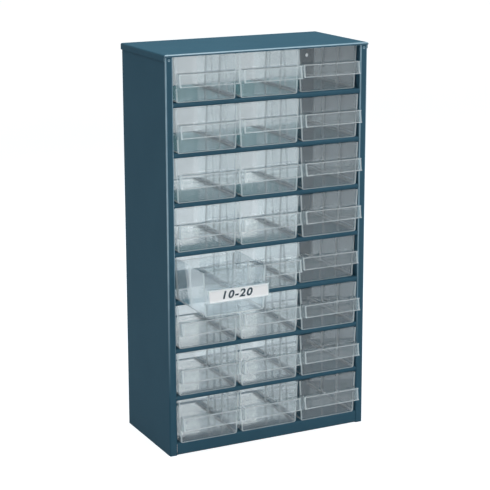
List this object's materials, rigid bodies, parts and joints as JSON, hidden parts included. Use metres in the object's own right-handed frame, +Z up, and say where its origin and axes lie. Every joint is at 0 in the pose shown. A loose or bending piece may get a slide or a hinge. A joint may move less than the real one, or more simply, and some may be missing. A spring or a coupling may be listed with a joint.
{
  "type": "parts bin cabinet",
  "caption": "Upright painted sheet-steel small-parts cabinet with columns of clear pull-out plastic drawers on pressed shelves.",
  "frame": {"origin": "middle of the carcass footprint, on the ground it stands on", "axes": "+X to the right seen from the front, -Y out of the front (drawers pull along -Y), +Z up"},
  "size_m": [0.306, 0.2472, 0.552],
  "materials": {
    "painted_steel": "smooth satin stoved enamel, dark petrol blue",
    "clear_polystyrene": "clear moulded polystyrene, glossy",
    "card": "matt white card"
  },
  "bodies": {
    "carcass": {"side_left": "painted_steel", "side_right": "painted_steel", "lid": "painted_steel", "base": "painted_steel", "shelf_1": "painted_steel", "shelf_2": "painted_steel", "shelf_3": "painted_steel", "shelf_4": "painted_steel", "shelf_5": "painted_steel", "shelf_6": "painted_steel", "shelf_7": "painted_steel"},
    "drawer_r1c1": {"drawer_r1c1": "clear_polystyrene"},
    "drawer_r1c2": {"drawer_r1c2": "clear_polystyrene"},
    "drawer_r1c3": {"drawer_r1c3": "clear_polystyrene"},
    "drawer_r2c1": {"drawer_r2c1": "clear_polystyrene"},
    "drawer_r2c2": {"drawer_r2c2": "clear_polystyrene"},
    "drawer_r2c3": {"drawer_r2c3": "clear_polystyrene"},
    "drawer_r3c1": {"drawer_r3c1": "clear_polystyrene"},
    "drawer_r3c2": {"drawer_r3c2": "clear_polystyrene"},
    "drawer_r3c3": {"drawer_r3c3": "clear_polystyrene"},
    "drawer_r4c1": {"drawer_r4c1": "clear_polystyrene"},
    "drawer_r4c2": {"drawer_r4c2": "clear_polystyrene"},
    "drawer_r4c3": {"drawer_r4c3": "clear_polystyrene"},
    "drawer_r5c1": {"drawer_r5c1": "clear_polystyrene", "divider_front": "clear_polystyrene", "divider_rear": "clear_polystyrene", "label_card": "card"},
    "drawer_r5c2": {"drawer_r5c2": "clear_polystyrene"},
    "drawer_r5c3": {"drawer_r5c3": "clear_polystyrene"},
    "drawer_r6c1": {"drawer_r6c1": "clear_polystyrene"},
    "drawer_r6c2": {"drawer_r6c2": "clear_polystyrene"},
    "drawer_r6c3": {"drawer_r6c3": "clear_polystyrene"},
    "drawer_r7c1": {"drawer_r7c1": "clear_polystyrene"},
    "drawer_r7c2": {"drawer_r7c2": "clear_polystyrene"},
    "drawer_r7c3": {"drawer_r7c3": "clear_polystyrene"},
    "drawer_r8c1": {"drawer_r8c1": "clear_polystyrene"},
    "drawer_r8c2": {"drawer_r8c2": "clear_polystyrene"},
    "drawer_r8c3": {"drawer_r8c3": "clear_polystyrene"}
  },
  "joints": [
    {"name": "slide_r1c1", "type": "slide", "parent": "carcass", "child": "drawer_r1c1", "axis": [0, -1, 0], "range_m": [-0.009, 0.1052]},
    {"name": "slide_r1c2", "type": "slide", "parent": "carcass", "child": "drawer_r1c2", "axis": [0, -1, 0], "range_m": [-0.008, 0.1062]},
    {"name": "slide_r1c3", "type": "slide", "parent": "carcass", "child": "drawer_r1c3", "axis": [0, -1, 0], "range_m": [-0.0005, 0.1137]},
    {"name": "slide_r2c1", "type": "slide", "parent": "carcass", "child": "drawer_r2c1", "axis": [0, -1, 0], "range_m": [-0.011, 0.1032]},
    {"name": "slide_r2c2", "type": "slide", "parent": "carcass", "child": "drawer_r2c2", "axis": [0, -1, 0], "range_m": [-0.008, 0.1062]},
    {"name": "slide_r2c3", "type": "slide", "parent": "carcass", "child": "drawer_r2c3", "axis": [0, -1, 0], "range_m": [-0.006, 0.1082]},
    {"name": "slide_r3c1", "type": "slide", "parent": "carcass", "child": "drawer_r3c1", "axis": [0, -1, 0], "range_m": [-0.009, 0.1052]},
    {"name": "slide_r3c2", "type": "slide", "parent": "carcass", "child": "drawer_r3c2", "axis": [0, -1, 0], "range_m": [-0.009, 0.1052]},
    {"name": "slide_r3c3", "type": "slide", "parent": "carcass", "child": "drawer_r3c3", "axis": [0, -1, 0], "range_m": [-0.008, 0.1062]},
    {"name": "slide_r4c1", "type": "slide", "parent": "carcass", "child": "drawer_r4c1", "axis": [0, -1, 0], "range_m": [-0.008, 0.1062]},
    {"name": "slide_r4c2", "type": "slide", "parent": "carcass", "child": "drawer_r4c2", "axis": [0, -1, 0], "range_m": [-0.008, 0.1062]},
    {"name": "slide_r4c3", "type": "slide", "parent": "carcass", "child": "drawer_r4c3", "axis": [0, -1, 0], "range_m": [-0.009, 0.1052]},
    {"name": "slide_r5c1", "type": "slide", "parent": "carcass", "child": "drawer_r5c1", "axis": [0, -1, 0], "range_m": [-0.092, 0.0222]},
    {"name": "slide_r5c2", "type": "slide", "parent": "carcass", "child": "drawer_r5c2", "axis": [0, -1, 0], "range_m": [-0.009, 0.1052]},
    {"name": "slide_r5c3", "type": "slide", "parent": "carcass", "child": "drawer_r5c3", "axis": [0, -1, 0], "range_m": [-0.002, 0.1122]},
    {"name": "slide_r6c1", "type": "slide", "parent": "carcass", "child": "drawer_r6c1", "axis": [0, -1, 0], "range_m": [-0.009, 0.1052]},
    {"name": "slide_r6c2", "type": "slide", "parent": "carcass", "child": "drawer_r6c2", "axis": [0, -1, 0], "range_m": [-0.008, 0.1062]},
    {"name": "slide_r6c3", "type": "slide", "parent": "carcass", "child": "drawer_r6c3", "axis": [0, -1, 0], "range_m": [-0.0085, 0.1057]},
    {"name": "slide_r7c1", "type": "slide", "parent": "carcass", "child": "drawer_r7c1", "axis": [0, -1, 0], "range_m": [-0.008, 0.1062]},
    {"name": "slide_r7c2", "type": "slide", "parent": "carcass", "child": "drawer_r7c2", "axis": [0, -1, 0], "range_m": [-0.009, 0.1052]},
    {"name": "slide_r7c3", "type": "slide", "parent": "carcass", "child": "drawer_r7c3", "axis": [0, -1, 0], "range_m": [-0.009, 0.1052]},
    {"name": "slide_r8c1", "type": "slide", "parent": "carcass", "child": "drawer_r8c1", "axis": [0, -1, 0], "range_m": [-0.011, 0.1032]},
    {"name": "slide_r8c2", "type": "slide", "parent": "carcass", "child": "drawer_r8c2", "axis": [0, -1, 0], "range_m": [-0.009, 0.1052]},
    {"name": "slide_r8c3", "type": "slide", "parent": "carcass", "child": "drawer_r8c3", "axis": [0, -1, 0], "range_m": [-0.009, 0.1052]}
  ]
}
